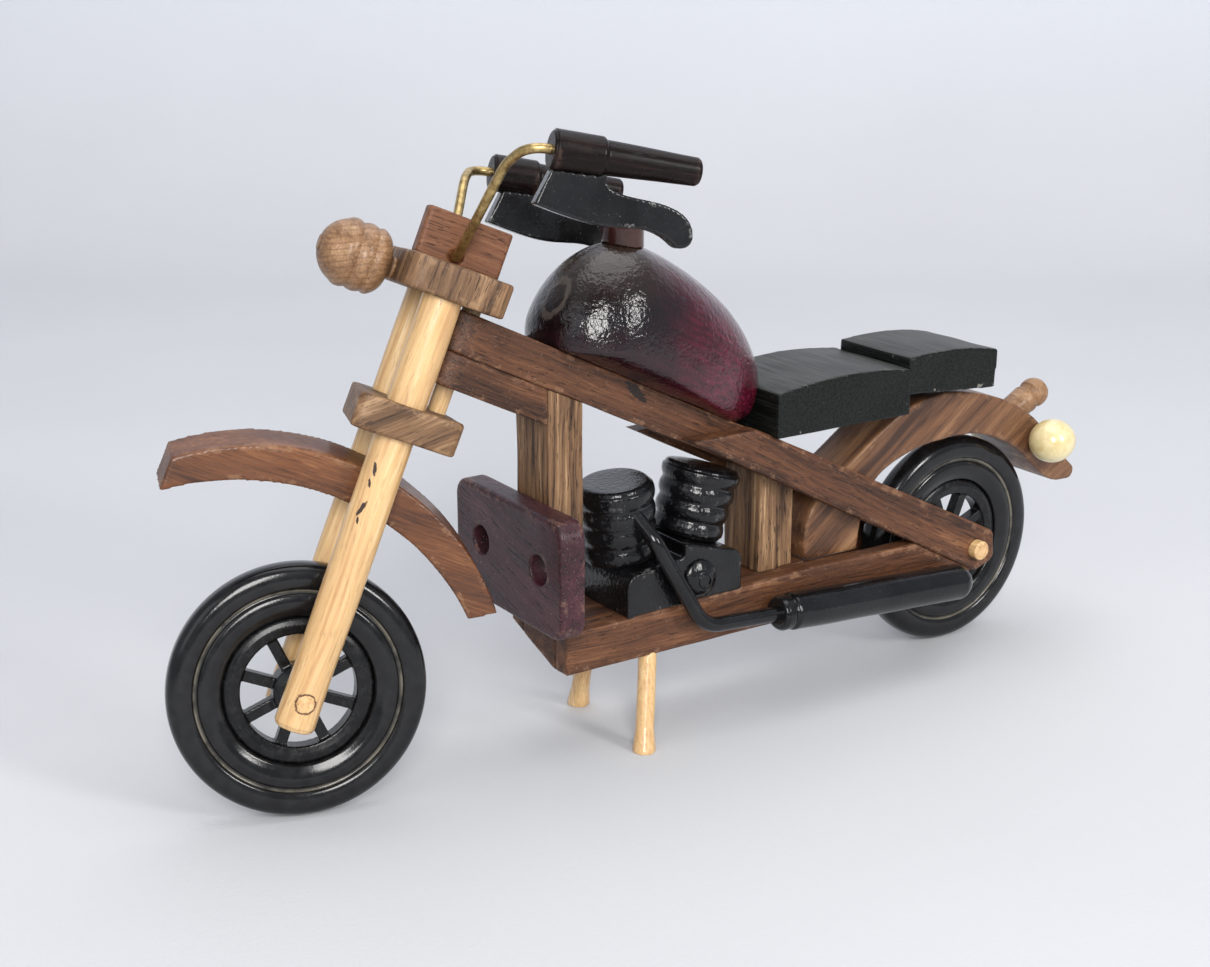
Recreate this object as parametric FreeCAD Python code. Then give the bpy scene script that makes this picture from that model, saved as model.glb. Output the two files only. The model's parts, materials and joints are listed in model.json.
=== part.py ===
import FreeCAD, Part
import os
from math import atan2, cos, degrees, radians, sin, tan

from FreeCAD import Placement, Rotation, Vector

# Handmade wooden motorcycle, millimetres.
# The design frame has +X forward, +Y to the rider's left and +Z up. Its origin is on the ground
# under the rear axle. Parts are moved to the row frame (middle of the footprint) at the end.

# ---- driving dimensions -------------------------------------------------------------------------
wheel_radius = 32.0
wheel_half_width = 4.25
wheelbase = 214.4
front_axle_height = 32.25      # slightly over the wheel radius, because the steered wheel leans
running_clearance = 0.06       # radial gap of every shaft that turns in a hole

caster = 23.7                  # degrees, fork legs lean back from the vertical
steer_at_rest = -18.5          # degrees, the bars are turned to the rider's right
stem_setback = 10.0            # the steering stem lies this far behind the line of the fork legs
leg_radius = 4.95
leg_y = 10.15

spine_slope = 26.0             # degrees
spine_half_width = 8.0
spine_depth = 10.2
spine_top_x, spine_top_z = 100.0, 89.3     # a point on the spine's top face
neck_block_depth = 8.6
side_thickness = 5.8           # stays and lower rails, glued to the flanks of the middle boards
side_outer = spine_half_width + side_thickness

board_bottom = 25.0
deck_front_z, deck_rear_z = 36.4, 38.8     # top of the base board at its two ends
board_front_x = 146.0

front_post_x = (137.0, 147.4)
rear_post_x = (67.0, 79.0)
guard_thickness = 7.4
guard_y = (-27.8, 25.6)
guard_z = (39.5, 71.0)

crank_x = (89.5, 127.0)
crank_half_width = 14.0
crank_ridge = (108.5, 54.3)    # x and z of the ridge between the two cylinder seats

silencer_radius = 5.3
silencer_y = side_outer + silencer_radius + 0.1
pipe_radius = 2.1
wire_radius = 1.2
peg_radius = 2.5

# The row frame's origin is the middle of the overall box, on the ground.
row_origin = Vector(99.2, 4.47, 0.0)


# ---- frames -------------------------------------------------------------------------------------
rear_axle_centre = Vector(0, 0, wheel_radius)
front_axle_centre = Vector(wheelbase, 0, front_axle_height)

# Fork coordinates are (forward of the leg line, left, along the legs), from the front axle.
fork_frame = Placement(front_axle_centre, Rotation(Vector(0, 1, 0), -caster))
stem_axis = fork_frame.Rotation.multVec(Vector(0, 0, 1))
stem_point = fork_frame.multVec(Vector(-stem_setback, 0, 0))


def turned(shape, angle):
    """The shape turned about the steering stem's axis."""
    copy = shape.copy()
    copy.rotate(stem_point, stem_axis, angle)
    return copy


def from_fork(shape):
    """Moves a shape from fork coordinates to the design frame, bars straight ahead."""
    copy = shape.copy()
    copy.Placement = fork_frame.multiply(copy.Placement)
    return copy


# ---- shape helpers ------------------------------------------------------------------------------
def rounded_wire(corners):
    """A closed wire through (u, v, radius) corners in the XY plane, with tangent arcs."""
    count = len(corners)
    starts, arcs, ends = [], [], []
    for i, (u, v, radius) in enumerate(corners):
        here = Vector(u, v, 0)
        before = Vector(corners[i - 1][0], corners[i - 1][1], 0) - here
        after = Vector(corners[(i + 1) % count][0], corners[(i + 1) % count][1], 0) - here
        before.normalize()
        after.normalize()
        if radius == 0:
            starts.append(here)
            ends.append(here)
            arcs.append(None)
            continue
        half = before.getAngle(after) / 2
        reach = radius / tan(half)
        middle = before + after
        middle.normalize()
        starts.append(here + before * reach)
        ends.append(here + after * reach)
        arcs.append(here + middle * (radius / sin(half) - radius))
    edges = []
    for i in range(count):
        if arcs[i] is not None:
            edges.append(Part.Arc(starts[i], arcs[i], ends[i]).toShape())
        following = starts[(i + 1) % count]
        if (following - ends[i]).Length > 1e-6:
            edges.append(Part.makeLine(ends[i], following))
    return Part.Wire(edges)


def board(corners, y_from, y_to):
    """A flat board: an outline of (x, z, radius) corners, from one y to another."""
    face = Part.Face(rounded_wire(corners))
    face.Placement = Placement(Vector(0, y_to, 0), Rotation(Vector(1, 0, 0), 90))
    return face.extrude(Vector(0, y_from - y_to, 0))


def curved_board(edges, y_from, y_to):
    """A flat board whose outline is a list of edges in the XZ plane."""
    face = Part.Face(Part.Wire(Part.__sortEdges__(edges)))
    face.translate(Vector(0, y_from, 0))
    return face.extrude(Vector(0, y_to - y_from, 0))


def arc(*points):
    """An arc in the XZ plane through three (x, z) points."""
    return Part.Arc(*[Vector(x, 0, z) for x, z in points]).toShape()


def spline(*points):
    """A smooth curve in the XZ plane through (x, z) points."""
    curve = Part.BSplineCurve()
    curve.interpolate([Vector(x, 0, z) for x, z in points])
    return curve.toShape()


def line(start, end):
    """A straight edge in the XZ plane between two (x, z) points."""
    return Part.makeLine(Vector(start[0], 0, start[1]), Vector(end[0], 0, end[1]))


def lathe(profile, start, direction):
    """Turns a profile of (distance along the axis, radius) points about the axis.

    An entry with a third item, itself an (along, radius) pair, is reached by an arc through it.
    """
    edges = []
    first = Vector(profile[0][1], 0, profile[0][0])
    here = first
    for entry in profile[1:]:
        there = Vector(entry[1], 0, entry[0])
        if len(entry) == 3:
            middle = Vector(entry[2][1], 0, entry[2][0])
            edges.append(Part.Arc(here, middle, there).toShape())
        else:
            edges.append(Part.makeLine(here, there))
        here = there
    edges.append(Part.makeLine(here, first))
    solid = Part.Face(Part.Wire(edges)).revolve(Vector(), Vector(0, 0, 1), 360)
    solid.Placement = Placement(start, Rotation(Vector(0, 0, 1), direction))
    return solid


def dome(along, radius, height):
    """The profile entry that closes a turned piece with a part of a sphere."""
    sphere = (radius ** 2 + height ** 2) / (2 * height)
    centre = along + height - sphere
    half = atan2(radius, along - centre) / 2
    return along + height, 0, (centre + sphere * cos(half), sphere * sin(half))


def rod(start, end, radius):
    """A round rod between two points."""
    return Part.makeCylinder(radius, (end - start).Length, start, end - start)


def bent_rod(points, bends, radius):
    """A round rod along straight runs between points, with a bend radius at each inner point."""
    pieces = []
    start = points[0]
    for i in range(1, len(points)):
        arriving = points[i] - points[i - 1]
        arriving.normalize()
        if i == len(points) - 1:
            pieces.append(rod(start, points[i], radius))
            break
        leaving = points[i + 1] - points[i]
        leaving.normalize()
        angle = arriving.getAngle(leaving)
        stop = points[i] - arriving * (bends[i - 1] * tan(angle / 2))
        pieces.append(rod(start, stop, radius))
        axis = arriving.cross(leaving)
        axis.normalize()
        centre = stop + axis.cross(arriving) * bends[i - 1]
        section = Part.Face(Part.Wire(Part.makeCircle(radius, stop, arriving)))
        pieces.append(section.revolve(centre, axis, degrees(angle)))
        start = points[i] + leaving * (bends[i - 1] * tan(angle / 2))
    return pieces[0].fuse(pieces[1:])


def soften(shape, radius, keep=None):
    """Rounds the edges that the test keeps, or all of them."""
    edges = [e for e in shape.Edges if keep is None or keep(e)]
    return shape.makeFillet(radius, edges)


def mirrored(shape):
    """The same piece on the other side of the middle plane."""
    return shape.mirror(Vector(), Vector(0, 1, 0))


# ---- lines that several boards share ------------------------------------------------------------
slope = tan(radians(spine_slope))
board_rear_x = rear_post_x[0] - 5.0


def spine_top(x):
    return spine_top_z + (x - spine_top_x) * slope


def spine_bottom(x):
    return spine_top(x) - spine_depth / cos(radians(spine_slope))


def neck_bottom(x):
    return spine_bottom(x) - neck_block_depth / cos(radians(spine_slope))


def deck(x):
    """Height of the base board's top."""
    share = (board_front_x - x) / (board_front_x - board_rear_x)
    return deck_front_z + min(share, 1.0) * (deck_rear_z - deck_front_z)


# ---- frame boards -------------------------------------------------------------------------------
nose_radius = spine_half_width
stem_radius = 2.4


def nose_cutter():
    """Keeps what lies behind the stem, plus a round nose about it."""
    long = 400.0
    behind = Part.makeBox(long, 60, long, Vector(-long - stem_setback, -30, -long / 2))
    nose = Part.makeCylinder(nose_radius, long, Vector(-stem_setback, 0, -long / 2))
    return from_fork(behind.fuse(nose))


def stem_hole():
    centre = Vector(-stem_setback, 0, 60)
    return from_fork(Part.makeCylinder(stem_radius + running_clearance, 80, centre))


def make_spine():
    front_x, rear_x = 190.0, rear_post_x[0]
    corners = [
        (rear_x, spine_top(rear_x), 0),
        (front_x, spine_top(front_x), 0),
        (front_x, spine_bottom(front_x), 0),
        (rear_x, spine_bottom(rear_x), 0),
    ]
    raw = board(corners, -spine_half_width, spine_half_width)
    return raw.common(nose_cutter()).cut(stem_hole())


def make_neck_block():
    front_x, rear_x = 190.0, front_post_x[1]
    corners = [
        (rear_x, spine_bottom(rear_x), 0),
        (front_x, spine_bottom(front_x), 0),
        (front_x, neck_bottom(front_x), 0),
        (rear_x, neck_bottom(rear_x), 0),
    ]
    raw = board(corners, -spine_half_width, spine_half_width)
    return raw.common(nose_cutter()).cut(stem_hole())


def make_post(x_range):
    rear_x, front_x = x_range
    corners = [
        (rear_x, deck(rear_x), 0),
        (rear_x, spine_bottom(rear_x), 0),
        (front_x, spine_bottom(front_x), 0),
        (front_x, deck(front_x), 0),
    ]
    return board(corners, -spine_half_width, spine_half_width)


def make_base_board():
    corners = [
        (board_rear_x, board_bottom, 0),
        (board_rear_x, deck(board_rear_x), 0),
        (board_front_x, deck(board_front_x), 0),
        (board_front_x, board_bottom, 0),
    ]
    return board(corners, -spine_half_width, spine_half_width)


# The stay runs from the spine's flank down to the rear axle. Its lower edge is the line that the
# lower rail is cut to.
left_stay_front = (106.6, 82.0)
right_stay_front = (109.5, 80.6)
stay_lower_rear = (0.0, 25.0)
stay_upper_front = (84.5, 82.0)
stay_upper_rear = (-7.0, 36.4)
rail_rear_x = 24.5


def stay_lower(x, front):
    """Height of a stay's lower edge, which ends at the given front corner."""
    share = (x - stay_lower_rear[0]) / (front[0] - stay_lower_rear[0])
    return stay_lower_rear[1] + share * (front[1] - stay_lower_rear[1])


def make_stay(front):
    end_radius = 2.5
    corners = [
        (*stay_lower_rear, end_radius),
        (*front, 0),
        (*stay_upper_front, 0),
        (*stay_upper_rear, end_radius),
        (-7.6, 27.6, end_radius),
    ]
    stay = board(corners, spine_half_width, side_outer)
    return stay.cut(rear_axle_hole(rear_axle_radius))


def make_lower_rail(front):
    """The board under a stay, cut to the stay's lower edge at its rear end."""
    rear_x = stay_lower_rear[0] + 2.0
    corners = [
        (rear_x, stay_lower(rear_x, front), 0),
        (rail_rear_x, stay_lower(rail_rear_x, front), 0),
        (board_rear_x, deck(board_rear_x), 0),
        (board_front_x, deck(board_front_x), 0),
        (board_front_x, board_bottom, 0),
        (rear_x, board_bottom, 0),
    ]
    return board(corners, spine_half_width, side_outer)


def chamfered_end(rail):
    """The right rail and board lose their lower front corner to a slanting saw cut."""
    far = -side_outer - 1
    points = [
        Vector(board_front_x + 1, spine_half_width + 1, board_bottom - 0.1),
        Vector(board_front_x + 1, far, board_bottom + 8.5),
        Vector(board_front_x + 1, far, board_bottom - 1),
        Vector(board_front_x - 13, far, board_bottom - 0.1),
    ]
    faces = []
    for skip in range(4):
        three = [p for i, p in enumerate(points) if i != skip]
        faces.append(Part.Face(Part.makePolygon(three + three[:1])))
    return rail.cut(Part.makeSolid(Part.makeShell(faces)))


# ---- foot guard ---------------------------------------------------------------------------------
guard_hole_radius = 4.0
guard_hole_y = 14.3
guard_hole_z = 56.3


def make_foot_guard():
    back_x = front_post_x[1]
    right, left = guard_y
    bottom, top = guard_z
    corner = 5.0
    corners = [(right, bottom, corner), (right, top, corner), (left, top, corner), (left, bottom, corner)]
    face = Part.Face(rounded_wire(corners))
    face.Placement = Placement(Vector(back_x, 0, 0), Rotation(Vector(1, 1, 1), 120))
    plate = face.extrude(Vector(guard_thickness, 0, 0))
    plate = soften(plate, 1.2, lambda e: e.BoundBox.XLength < 0.01)
    for side in (-1, 1):
        start = Vector(back_x - 1, side * guard_hole_y, guard_hole_z)
        plate = plate.cut(Part.makeCylinder(guard_hole_radius, 20, start, Vector(1, 0, 0)))
    return plate


# ---- engine -------------------------------------------------------------------------------------
crank_rear_top = 49.0
crank_step = 50.6              # top of the front seat, just in front of the ridge
crank_front_top = 48.4
rear_cylinder_pitch, front_cylinder_pitch = 4.95, 5.4
cylinder_groove = 0.9
cylinder_rings = 4


def make_crankcase():
    rear_x, front_x = crank_x
    corners = [
        (rear_x, deck(rear_x), 0),
        (rear_x, crank_rear_top, 3.5),
        (*crank_ridge, 0),
        (crank_ridge[0], crank_step, 0),
        (front_x, crank_front_top, 4.0),
        (front_x, deck(front_x), 0),
    ]
    block = board(corners, -crank_half_width, crank_half_width)
    for side in (-1, 1):
        hole_start = Vector(*button_place(side)) - Vector(0, side * 2.0, 0)
        block = block.cut(rod(hole_start, hole_start + Vector(0, side * 5, 0), button_stem))
    return block


button_x, button_z = 103.8, 43.8
button_radius = 5.2
button_stem = 1.5


def button_place(side):
    return button_x, side * crank_half_width, button_z


def make_button(side):
    rise = 1.8
    profile = [
        (-2.0, 0),
        (-2.0, button_stem),
        (0, button_stem),
        (0, button_radius),
        (0.8, button_radius),
        dome(0.8, button_radius, rise),
    ]
    return lathe(profile, Vector(*button_place(side)), Vector(0, side, 0))


def make_cylinder(seat_x, lean, top_radius, base_radius, pitch):
    """A turned engine cylinder: bulged rings under a flat top, standing square on its seat."""
    seat_z = crank_roof(seat_x)
    axis = Vector(sin(radians(lean)), 0, cos(radians(lean)))
    profile = [(0, 0), (0, base_radius - cylinder_groove)]
    for ring in range(cylinder_rings):
        bulge = base_radius + (top_radius - base_radius) * ring / (cylinder_rings - 1)
        middle = ((ring + 0.5) * pitch, bulge)
        profile.append(((ring + 1) * pitch, bulge - cylinder_groove, middle))
    profile.append((cylinder_rings * pitch, 0))
    return lathe(profile, Vector(seat_x, 0, seat_z), axis)


def crank_roof(x):
    """Height of the crankcase's two roof slopes."""
    rear_x, front_x = crank_x
    ridge_x, ridge_z = crank_ridge
    if x > ridge_x:
        return crank_step + (crank_front_top - crank_step) * (x - ridge_x) / (front_x - ridge_x)
    return ridge_z + (crank_rear_top - ridge_z) * (ridge_x - x) / (ridge_x - rear_x)


rear_cylinder_x, front_cylinder_x = 98.2, 119.8
rear_lean = -degrees(atan2(crank_ridge[1] - crank_rear_top, crank_ridge[0] - crank_x[0]))
front_lean = degrees(atan2(crank_step - crank_front_top, crank_x[1] - crank_ridge[0]))


# ---- exhaust ------------------------------------------------------------------------------------
silencer_front = Vector(80.8, silencer_y, 30.3)
silencer_rear = Vector(8.5, silencer_y, 25.5)
pipe_start = Vector(121.0, 9.6, 62.6)
pipe_shoulder = Vector(119.3, 15.1, 57.5)
pipe_socket = 2.0              # how far the pipe goes into the cylinder and into the silencer
pipe_run = 25.0                # straight length in front of the silencer, up to the bend's corner
pipe_bends = (5.0, 9.0)


def make_silencer():
    axis = silencer_rear - silencer_front
    length = axis.Length
    axis.normalize()
    r = silencer_radius
    profile = [
        (0, 0),
        (0, r - 1.0),
        (0.6, r - 0.4),
        (3.2, r - 0.4),
        (3.6, r - 0.9),
        (4.2, r - 0.9),
        (4.8, r),
        (length - 4.5, r),
        dome(length - 4.5, r, 4.5),
    ]
    socket = rod(silencer_front, silencer_front + axis * pipe_socket, pipe_radius)
    return lathe(profile, silencer_front, axis).cut(socket)


def pipe_points():
    """Corners of the exhaust pipe's path, from inside the cylinder to inside the silencer."""
    inward = pipe_start - pipe_shoulder
    inward.normalize()
    forward = silencer_front - silencer_rear
    forward.normalize()
    return [
        pipe_start + inward * pipe_socket,
        pipe_shoulder,
        silencer_front + forward * pipe_run,
        silencer_front - forward * pipe_socket,
    ]


# ---- tank and seats -----------------------------------------------------------------------------
def scaled_ball(a, b, c):
    ball = Part.makeSphere(1.0)
    matrix = FreeCAD.Matrix()
    matrix.scale(a, b, c)
    return ball.transformGeometry(matrix)


tank_base_x = 128.8            # the widest section meets the spine's top here
tank_belly = 6.3               # the widest level's height above the spine
tank_half_width = 19.0
tank_reaches = (21.0, -54.0)   # forward and back from the widest section
tank_heights = (26.7, -16.0)   # above and below the widest level
tank_tuck = 7.2                # the flanks curve in under the widest level, over this height


def make_fuel_tank():
    """A turned egg with its blunt end forward, flattened where it is glued to the spine."""
    room = 60.0
    quarters = []
    for reach in tank_reaches:
        for height in tank_heights:
            corner = Vector(min(0, reach / abs(reach)), -0.5, min(0, height / abs(height))) * room
            ball = scaled_ball(abs(reach), tank_half_width, abs(height))
            quarters.append(ball.common(Part.makeBox(room, room, room, corner)))
    egg = quarters[0].fuse(quarters[1:])
    flanks = Part.makeCylinder(1.0, 2 * room, Vector(-room, 0, 0), Vector(1, 0, 0))
    matrix = FreeCAD.Matrix()
    matrix.scale(1.0, tank_half_width, tank_tuck)
    flanks = flanks.transformGeometry(matrix)
    upper = Part.makeBox(2 * room, room, room, Vector(-room, -room / 2, 0))
    egg = egg.common(flanks.fuse(upper))
    egg = egg.cut(Part.makeBox(200, 80, 50, Vector(-100, -40, -50 - tank_belly)))
    place = Placement(
        Vector(tank_base_x, 0, spine_top(tank_base_x)), Rotation(Vector(0, 1, 0), -spine_slope)
    )
    egg.Placement = place.multiply(Placement(Vector(0, 0, tank_belly), Rotation()))
    return egg


cap_x = 119.5
cap_radius = 5.5


def make_filler_cap(tank):
    cap = Part.makeCylinder(cap_radius, 12, Vector(cap_x, 0, 127.5))
    cap = soften(cap, 0.8, lambda e: e.BoundBox.ZMin > 139)
    return cap.cut(tank)


seat_bottom = 79.35
front_seat_x = (32.5, 80.0)
rear_seat_x = (-2.0, 32.5)
front_seat_half_width = 16.5
rear_seat_half_width = 15.0


def crowned_seat(x_range, z_bottom, z_edge, rise, half_width, tilt):
    """A flat-sided seat block with a crowned top."""
    x_rear, x_front = x_range
    middle = (x_rear + x_front) / 2
    side = curved_board(
        [
            line((x_rear, z_bottom), (x_front, z_bottom)),
            line((x_front, z_bottom), (x_front, z_edge - 0.6)),
            arc((x_front, z_edge - 0.6), (middle, z_edge + rise), (x_rear, z_edge)),
            line((x_rear, z_edge), (x_rear, z_bottom)),
        ],
        -half_width,
        half_width,
    )
    side.rotate(Vector(x_front, 0, z_bottom), Vector(0, 1, 0), -tilt)
    return side


def make_front_seat():
    return crowned_seat(front_seat_x, seat_bottom, 92.4, 1.6, front_seat_half_width, 0)


def make_rear_seat():
    return crowned_seat(rear_seat_x, seat_bottom + 5.2, 95.8, 1.0, rear_seat_half_width, 4.0)


# ---- rear fender and tail -----------------------------------------------------------------------
def make_rear_fender():
    outer = spline((61.5, 38.5), (60.5, 52.0), (44.0, 66.4), (25.0, 77.8), (5.0, 80.2))
    tail = spline((5.0, 80.2), (-13.5, 75.2), (-28.0, 67.0), (-37.0, 58.0), (-45.0, 50.0))
    tip = arc((-45.0, 50.0), (-46.6, 47.2), (-43.0, 45.2))
    under = spline((-43.0, 45.2), (-35.0, 47.0), (-26.0, 54.5), (-13.0, 62.8), (0.0, 66.4))
    inner = spline((0.0, 66.4), (14.0, 66.2), (27.0, 63.4), (37.0, 57.5), (41.0, 48.0), (42.5, 38.5))
    foot = line((42.5, 38.5), (61.5, 38.5))
    edges = [outer, tail, tip, under, inner, foot]
    return curved_board(edges, -spine_half_width + 0.1, spine_half_width - 0.1)


def make_tail_lamp():
    """A turned acorn-shaped peg, glued into the fender's back."""
    start = Vector(-22.0, 0, 66.9)
    direction = Vector(-1.0, 0, 0.46)
    profile = [
        (0, 0),
        (0, 3.7),
        (10.2, 4.4),
        (11.4, 3.6),
        (12.6, 4.4),
        dome(12.6, 4.4, 5.7),
    ]
    return lathe(profile, start, direction)


def make_tail_ball(side):
    """A wooden bead with a flat, glued to the fender's flank."""
    centre = Vector(-30.0, side * (spine_half_width + 5.4), 61.0)
    ball = scaled_ball(7.3, 6.9, 6.7)
    ball.translate(centre)
    return ball


# ---- wheels -------------------------------------------------------------------------------------
rear_axle_radius = 2.9
front_axle_radius = 2.15
tyre_inner_radius = 18.6
rim_opening_radius = 14.3
hub_radius = 6.4
hub_half_length = 4.7
spoke_count = 8
spoke_width = 2.8


def rear_axle_hole(radius):
    return rod(Vector(0, -60, wheel_radius), Vector(0, 60, wheel_radius), radius)


def half_turned(profile):
    """Turns one flank's (radius, y) points and their mirror image about the Y axis."""
    full = profile + [(r, -y) for r, y in reversed(profile)]
    points = [Vector(r, y, 0) for r, y in full]
    face = Part.Face(Part.makePolygon(points + points[:1]))
    return face.revolve(Vector(), Vector(0, 1, 0), 360)


def make_tyre():
    """A moulded tyre with a flat tread, rounded shoulders and a groove round each flank."""
    w = wheel_half_width
    r = wheel_radius
    profile = [(tyre_inner_radius, 2.0), (19.6, 3.1), (21.0, 3.6), (24.2, 3.8), (24.7, 3.1)]
    profile += [(25.7, 3.1), (26.2, 4.0), (28.6, w), (30.2, w - 0.35), (31.4, w - 1.3), (r, w - 2.6)]
    return half_turned(profile)


def make_rim(bore):
    """Ring, eight flat spokes and a hub, moulded in one."""
    ring = half_turned([(rim_opening_radius, 2.6), (16.6, 3.1), (18.0, 2.6), (tyre_inner_radius, 2.0)])
    hub = half_turned([(bore, hub_half_length), (4.4, hub_half_length), (hub_radius, 3.2)])
    wheel = ring.fuse(hub)
    length = rim_opening_radius + 1.0 - hub_radius
    for k in range(spoke_count):
        spoke = Part.makeBox(length + 1.5, 3.6, spoke_width, Vector(hub_radius - 1.0, -1.8, -spoke_width / 2))
        spoke.rotate(Vector(), Vector(0, 1, 0), 360 / spoke_count * (k + 0.5))
        wheel = wheel.fuse(spoke)
    return wheel.removeSplitter()


# ---- steering head, fork and bars (fork coordinates) ----------------------------------------------
lower_clamp_a = (67.2, 75.6)
upper_clamp_a = (102.2, 110.8)
head_block_a = (upper_clamp_a[1], 122.7)
clamp_f = (-14.2, 12.2)
upper_clamp_f = (-15.0, 11.6)
head_block_f = (-13.2, 8.6)
clamp_half_width = 17.0
clamp_skew = 3.0               # the lower clamp's front face was sawn out of square
clamp_chamfer = 1.8
head_block_half_width = 3.0
leg_bottom, leg_top = -7.4, 108.0
stem_span = (69.5, 108.0)
bar_hole_f, bar_hole_a = -1.3, 112.8
bar_hole_mouth = 2.0           # the hole is drilled oversize at its two mouths
bar_mouth_depth = 0.8
bar_hole_slack = 0.08


def block(corners, a_range):
    """A clamp block with an outline of (f, y, radius) corners."""
    face = Part.Face(rounded_wire(corners))
    face.translate(Vector(0, 0, a_range[0]))
    return face.extrude(Vector(0, 0, a_range[1] - a_range[0]))


def square_corners(f_range, half_width, radius):
    rear, front = f_range
    return [
        (rear, -half_width, radius),
        (rear, half_width, radius),
        (front, half_width, radius),
        (front, -half_width, radius),
    ]


def leg_rod(side):
    start = Vector(0, side * leg_y, leg_bottom)
    return rod(start, Vector(0, side * leg_y, leg_top), leg_radius)


def make_leg(side):
    leg = soften(leg_rod(side), 0.9)
    axle = rod(Vector(0, -40, 0), Vector(0, 40, 0), front_axle_radius)
    return leg.cut(axle)


def make_stem():
    return rod(
        Vector(-stem_setback, 0, stem_span[0]), Vector(-stem_setback, 0, stem_span[1]), stem_radius
    )


def make_lower_clamp():
    rear, front = clamp_f
    corners = [
        (rear, -clamp_half_width, 2.5),
        (rear, clamp_half_width, 2.5),
        (front - clamp_chamfer, clamp_half_width, 0),
        (front, clamp_half_width - clamp_chamfer, 0),
        (front - clamp_skew, -clamp_half_width, 2.5),
    ]
    clamp = soften(block(corners, lower_clamp_a), 0.7)
    for piece in (leg_rod(1), leg_rod(-1), make_stem()):
        clamp = clamp.cut(piece)
    return clamp


def make_upper_clamp():
    corners = square_corners(upper_clamp_f, clamp_half_width, 5.0)
    clamp = soften(block(corners, upper_clamp_a), 0.7)
    for piece in (leg_rod(1), leg_rod(-1), make_stem()):
        clamp = clamp.cut(piece)
    return clamp


def make_head_block():
    corners = square_corners(head_block_f, head_block_half_width, 1.0)
    head = soften(block(corners, head_block_a), 0.6)
    centre = Vector(bar_hole_f, 0, bar_hole_a)
    reach = Vector(0, 2 * head_block_half_width, 0)
    head = head.cut(rod(centre - reach, centre + reach, wire_radius + bar_hole_slack))
    for side in (-1, 1):
        mouth = centre + Vector(0, side * (head_block_half_width - bar_mouth_depth), 0)
        head = head.cut(rod(mouth, mouth + reach * side, bar_hole_mouth))
    return head


lamp_a = 105.2
lamp_neck_radius = 2.8
lamp_bell_end = 6.2
lamp_grooves = (lamp_bell_end, lamp_bell_end + 4.0, lamp_bell_end + 7.7)
lamp_dome_height = 5.3


def make_headlamp():
    """A turned lamp: a short neck, a widening bell, two bulged rings and a domed front."""
    first, second, third = lamp_grooves
    profile = [
        (0, 0),
        (0, lamp_neck_radius),
        (1.6, lamp_neck_radius),
        (first - 1.4, 8.1, (2.5, 6.0)),
        (first, 7.7, (first - 0.5, 8.15)),
        (second, 7.8, ((first + second) / 2, 8.45)),
        (third, 7.7, ((second + third) / 2, 8.5)),
        dome(third, 7.7, lamp_dome_height),
    ]
    return lathe(profile, Vector(upper_clamp_f[1], 0, lamp_a), Vector(1, 0, 0))


fender_twist = -0.27            # the front fender's cross-section falls towards the left


def make_front_fender():
    """An arc-shaped board held between the legs, in the design frame with the bars straight."""
    half = leg_y - leg_radius
    outer = arc((164.0, 47.5), (189.6, 84.6), (239.5, 94.6))
    inner = arc((171.4, 46.7), (194.9, 76.8), (243.0, 86.9))
    edges = [outer, inner, line((164.0, 47.5), (171.4, 46.7)), line((239.5, 94.6), (243.0, 86.9))]
    shear = FreeCAD.Matrix()
    shear.A32 = fender_twist
    return curved_board(edges, -half, half).transformGeometry(shear)


grip_start = Vector(-7.0, 34.0, 142.1)
grip_tilt = 12.2
grip_direction = Vector(-cos(radians(grip_tilt)), 0, sin(radians(grip_tilt)))
grip_length = 36.0
grip_step = 12.0
wire_depth = 7.5
right_grip_shift = Vector(-3.4, 0, -4.2)      # the right bar is bent a little lower and further back
right_lever_shift = Vector(-6.4, 0, -3.9)

# Each bar comes out of the head block's side, bends up and out, then back into its grip.
left_bar_knee = Vector(-0.2, 25.5, 136.0)
right_bar_knee = Vector(-2.6, 24.5, 133.0)
bar_gap = 0.4                  # half the space between the two wires' ends inside the head block
bar_corner = 5.4               # the last bend's corner lies this far in front of the grip
bar_bends = (1.6, 14.0, 6.0)


def make_bar(knee, start):
    """A bent wire from the middle of the head block to its socket in the grip."""
    points = [
        Vector(bar_hole_f, bar_gap, bar_hole_a),
        Vector(bar_hole_f, head_block_half_width + 0.9, bar_hole_a),
        knee,
        start - grip_direction * bar_corner,
        start + grip_direction * wire_depth,
    ]
    return bent_rod(points, bar_bends, wire_radius)


def make_grip(start):
    profile = [
        (0, 0),
        (0, 4.2),
        (0.7, 4.9),
        (grip_step, 4.75),
        (grip_step + 0.5, 4.1),
        (grip_length - 1.0, 3.3),
        (grip_length, 2.5, (grip_length - 0.3, 3.05)),
        (grip_length, 0),
    ]
    socket = rod(start, start + grip_direction * wire_depth, wire_radius)
    return lathe(profile, start, grip_direction).cut(socket)


def make_lever(half_thickness):
    """A flat sawn board under the grip, hooked at its tip."""
    y = grip_start.y
    edges = [
        line((-8.6, 139.5), (-7.2, 129.2)),
        spline((-7.2, 129.2), (-16.0, 129.2), (-25.0, 130.2), (-33.5, 132.6), (-42.0, 131.6)),
        arc((-42.0, 131.6), (-45.3, 133.0), (-45.0, 136.0)),
        spline((-45.0, 136.0), (-42.8, 138.4), (-38.0, 139.6), (-30.0, 138.8), (-24.0, 138.4)),
        arc((-24.0, 138.4), (-21.7, 139.5), (-21.0, 142.0)),
        line((-21.0, 142.0), (-8.6, 139.5)),
    ]
    return curved_board(edges, y - half_thickness, y + half_thickness)


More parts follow.
